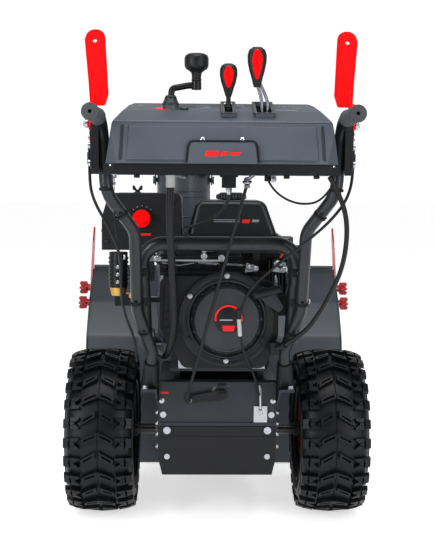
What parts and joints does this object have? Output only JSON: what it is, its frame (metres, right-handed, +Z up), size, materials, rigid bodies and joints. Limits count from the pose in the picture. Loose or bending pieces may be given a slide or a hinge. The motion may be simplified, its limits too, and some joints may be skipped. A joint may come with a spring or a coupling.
{
  "type": "two stage snowblower",
  "caption": "Walk-behind two stage snowblower: wheeled chassis with engine, ribbon auger housing, impeller, rotating discharge chute and operator console.",
  "frame": {"origin": "on the ground, midway between the wheels, under the middle of the axle", "axes": "+Y is the driving direction, +Z is up, +X is the operator's right hand"},
  "size_m": [0.8312, 1.4068, 1.1429],
  "materials": {
    "transmission_case": "satin dark blue-grey paint",
    "rear_cover": "satin dark blue-grey paint",
    "belly_cover": "satin black paint",
    "engine_base": "satin dark blue-grey paint",
    "bearings": "ground",
    "friction_disc": "turned",
    "hex_shaft": "ground",
    "friction_wheel": "matte",
    "crankshaft": "machined",
    "engine_block": "black painted casting",
    "blower_shroud": "satin black",
    "recoil_cover": "fine texture",
    "recoil_handle": "matte",
    "fuel_tank": "semi-gloss",
    "fuel_cap": "matte",
    "intake_hood": "matte",
    "carburettor": "as cast",
    "choke_knob": "semi-gloss red",
    "muffler": "heat proof paint",
    "starter_motor": "black",
    "belt_cover": "matte",
    "drive_belts": "matte",
    "left_tyre": "moulded tread",
    "right_tyre": "moulded tread",
    "left_rim": "gloss red",
    "right_rim": "gloss red",
    "auger_housing": "satin dark grey",
    "housing_sides": "satin dark grey",
    "impeller_drum": "satin dark grey",
    "skid_shoes": "dark steel",
    "impeller": "gloss red",
    "auger_gearbox": "painted casting",
    "auger": "gloss red",
    "chute": "satin dark grey",
    "deflector": "satin dark grey",
    "chute_bracket": "zinc plated",
    "chute_worm": "zinc plated",
    "right_drift_cutter": "gloss red",
    "left_drift_cutter": "gloss red",
    "right_upper_knob": "red",
    "left_upper_knob": "red",
    "right_lower_knob": "red",
    "left_lower_knob": "red",
    "console_shell": "fine texture",
    "console_tray": "matte",
    "joystick": "matte",
    "speed_lever": "plated rods, moulded grip",
    "shift_rod": "zinc plated",
    "speed_arm": "zinc plated",
    "chute_crank": "black",
    "crank_knob": "matte",
    "crank_sheath": "satin",
    "handlebars": "satin dark grey",
    "handle_grips": "foam",
    "handle_sleeves": "matte",
    "roll_bar": "satin dark grey",
    "left_clutch_lever": "gloss red coating",
    "right_clutch_lever": "gloss red coating",
    "control_cables": "satin",
    "fasteners": "zinc plated"
  },
  "bodies": {
    "chassis": {"transmission_case": "transmission_case", "rear_cover": "rear_cover", "belly_cover": "belly_cover", "engine_base": "engine_base", "bearings": "bearings", "engine_block": "engine_block", "blower_shroud": "blower_shroud", "recoil_cover": "recoil_cover", "fuel_tank": "fuel_tank", "intake_hood": "intake_hood", "carburettor": "carburettor", "muffler": "muffler", "starter_motor": "starter_motor", "belt_cover": "belt_cover", "drive_belts": "drive_belts", "auger_housing": "auger_housing", "housing_sides": "housing_sides", "impeller_drum": "impeller_drum", "skid_shoes": "skid_shoes", "auger_gearbox": "auger_gearbox", "chute_bracket": "chute_bracket", "console_shell": "console_shell", "console_tray": "console_tray", "crank_sheath": "crank_sheath", "handlebars": "handlebars", "handle_grips": "handle_grips", "handle_sleeves": "handle_sleeves", "roll_bar": "roll_bar", "control_cables": "control_cables", "fasteners": "fasteners"},
    "left_wheel": {"left_tyre": "left_tyre", "left_rim": "left_rim"},
    "right_wheel": {"right_tyre": "right_tyre", "right_rim": "right_rim"},
    "friction_disc": {"friction_disc": "friction_disc"},
    "hex_shaft": {"hex_shaft": "hex_shaft"},
    "friction_wheel": {"friction_wheel": "friction_wheel"},
    "crankshaft": {"crankshaft": "crankshaft"},
    "recoil_handle": {"recoil_handle": "recoil_handle"},
    "fuel_cap": {"fuel_cap": "fuel_cap"},
    "choke_knob": {"choke_knob": "choke_knob"},
    "impeller": {"impeller": "impeller"},
    "auger": {"auger": "auger"},
    "chute": {"chute": "chute"},
    "deflector": {"deflector": "deflector"},
    "chute_worm": {"chute_worm": "chute_worm"},
    "right_drift_cutter": {"right_drift_cutter": "right_drift_cutter"},
    "left_drift_cutter": {"left_drift_cutter": "left_drift_cutter"},
    "right_upper_knob": {"right_upper_knob": "right_upper_knob"},
    "left_upper_knob": {"left_upper_knob": "left_upper_knob"},
    "right_lower_knob": {"right_lower_knob": "right_lower_knob"},
    "left_lower_knob": {"left_lower_knob": "left_lower_knob"},
    "joystick": {"joystick": "joystick"},
    "speed_lever": {"speed_lever": "speed_lever"},
    "shift_rod": {"shift_rod": "shift_rod"},
    "speed_arm": {"speed_arm": "speed_arm"},
    "chute_crank": {"chute_crank": "chute_crank"},
    "crank_knob": {"crank_knob": "crank_knob"},
    "left_clutch_lever": {"left_clutch_lever": "left_clutch_lever"},
    "right_clutch_lever": {"right_clutch_lever": "right_clutch_lever"}
  },
  "joints": [
    {"name": "left_wheel_spin", "type": "hinge", "parent": "chassis", "child": "left_wheel", "pos_m": [-0.281, 0, 0.203], "axis": [1, 0, 0], "continuous": true},
    {"name": "right_wheel_spin", "type": "hinge", "parent": "chassis", "child": "right_wheel", "pos_m": [0.281, 0, 0.203], "axis": [1, 0, 0], "continuous": true},
    {"name": "crankshaft_spin", "type": "hinge", "parent": "chassis", "child": "crankshaft", "pos_m": [0.018, 0, 0.515], "axis": [0, 1, 0], "continuous": true},
    {"name": "friction_disc_spin", "type": "hinge", "parent": "chassis", "child": "friction_disc", "pos_m": [0, 0.07, 0.275], "axis": [0, 1, 0], "continuous": true},
    {"name": "hex_shaft_spin", "type": "hinge", "parent": "chassis", "child": "hex_shaft", "pos_m": [0, 0.025, 0.275], "axis": [1, 0, 0], "continuous": true},
    {"name": "friction_wheel_shift", "type": "slide", "parent": "hex_shaft", "child": "friction_wheel", "axis": [1, 0, 0], "range_m": [-0.02, 0.02]},
    {"name": "auger_spin", "type": "hinge", "parent": "chassis", "child": "auger", "pos_m": [0, 0.58, 0.18], "axis": [1, 0, 0], "continuous": true},
    {"name": "impeller_spin", "type": "hinge", "parent": "chassis", "child": "impeller", "pos_m": [0, 0.32, 0.215], "axis": [0, 1, 0], "continuous": true},
    {"name": "chute_turn", "type": "hinge", "parent": "chassis", "child": "chute", "pos_m": [-0.09, 0.317, 0.39], "axis": [0, 0, 1], "range_deg": [-100, 100]},
    {"name": "deflector_tilt", "type": "hinge", "parent": "chute", "child": "deflector", "pos_m": [-0.09, 0.317, 0.83], "axis": [1, 0, 0], "range_deg": [-31, 16]},
    {"name": "chute_worm_turn", "type": "hinge", "parent": "chassis", "child": "chute_worm", "pos_m": [-0.184, 0.317, 0.388], "axis": [0, 1, 0], "range_deg": [-1250, 1250]},
    {"name": "chute_crank_turn", "type": "hinge", "parent": "chassis", "child": "chute_crank", "pos_m": [-0.104, -0.43, 0.95], "axis": [0, 0, 1], "range_deg": [-1250, 1250]},
    {"name": "crank_knob_spin", "type": "hinge", "parent": "chute_crank", "child": "crank_knob", "pos_m": [-0.052, -0.43, 1.05], "axis": [0, 0, 1], "continuous": true},
    {"name": "joystick_tilt", "type": "hinge", "parent": "chassis", "child": "joystick", "pos_m": [0.013, -0.43, 0.9], "axis": [1, 0, 0], "range_deg": [-10, 20]},
    {"name": "speed_lever_tilt", "type": "hinge", "parent": "chassis", "child": "speed_lever", "pos_m": [0.087, -0.437, 0.88], "axis": [1, 0, 0], "range_deg": [-18, 18]},
    {"name": "shift_rod_pivot", "type": "hinge", "parent": "speed_lever", "child": "shift_rod", "pos_m": [0.0557, -0.362, 0.828], "axis": [1, 0, 0], "range_deg": [-20, 20]},
    {"name": "speed_arm_turn", "type": "hinge", "parent": "chassis", "child": "speed_arm", "pos_m": [0.011, -0.165, 0.326], "axis": [0, 1, 0], "range_deg": [-13, 13]},
    {"name": "left_clutch_squeeze", "type": "hinge", "parent": "chassis", "child": "left_clutch_lever", "pos_m": [-0.265, -0.44, 0.94], "axis": [1, 0, 0], "range_deg": [0, 105], "stiffness_Nm_per_rad": 0.3, "springref_deg": -17.19},
    {"name": "right_clutch_squeeze", "type": "hinge", "parent": "chassis", "child": "right_clutch_lever", "pos_m": [0.265, -0.44, 0.94], "axis": [1, 0, 0], "range_deg": [0, 105], "stiffness_Nm_per_rad": 0.3, "springref_deg": -17.19},
    {"name": "left_cutter_slide", "type": "slide", "parent": "chassis", "child": "left_drift_cutter", "axis": [0, 0.4571, 0.8894], "range_m": [-0.09, 0]},
    {"name": "right_cutter_slide", "type": "slide", "parent": "chassis", "child": "right_drift_cutter", "axis": [0, 0.4571, 0.8894], "range_m": [-0.09, 0]},
    {"name": "right_upper_knob_turn", "type": "hinge", "parent": "chassis", "child": "right_upper_knob", "pos_m": [0.39, 0.6, 0.497], "axis": [1, 0, 0], "continuous": true},
    {"name": "left_upper_knob_turn", "type": "hinge", "parent": "chassis", "child": "left_upper_knob", "pos_m": [-0.39, 0.6, 0.497], "axis": [1, 0, 0], "continuous": true},
    {"name": "right_lower_knob_turn", "type": "hinge", "parent": "chassis", "child": "right_lower_knob", "pos_m": [0.39, 0.5774, 0.453], "axis": [1, 0, 0], "continuous": true},
    {"name": "left_lower_knob_turn", "type": "hinge", "parent": "chassis", "child": "left_lower_knob", "pos_m": [-0.39, 0.5774, 0.453], "axis": [1, 0, 0], "continuous": true},
    {"name": "fuel_cap_turn", "type": "hinge", "parent": "chassis", "child": "fuel_cap", "pos_m": [0.033, -0.02, 0.79], "axis": [0, 0, 1], "range_deg": [0, 110]},
    {"name": "choke_turn", "type": "hinge", "parent": "chassis", "child": "choke_knob", "pos_m": [-0.18, -0.13, 0.738], "axis": [0, 1, 0], "range_deg": [0, 90]},
    {"name": "recoil_pull", "type": "slide", "parent": "chassis", "child": "recoil_handle", "axis": [0.15, -0.9302, 0.3351], "range_m": [0, 0.3], "stiffness_N_per_m": 20, "springref_m": -0.2}
  ],
  "couplings": [
    {"joint": "impeller_spin", "follows": "auger_spin", "ratio": 10},
    {"joint": "chute_worm_turn", "follows": "chute_turn", "ratio": 12},
    {"joint": "chute_crank_turn", "follows": "chute_turn", "ratio": 12},
    {"joint": "deflector_tilt", "follows": "joystick_tilt", "ratio": -1.5},
    {"joint": "shift_rod_pivot", "follows": "speed_lever_tilt", "ratio": -1.1018},
    {"joint": "speed_arm_turn", "follows": "speed_lever_tilt", "ratio": 0.66},
    {"joint": "friction_wheel_shift", "follows": "speed_lever_tilt", "m_per_rad": 0.06}
  ]
}
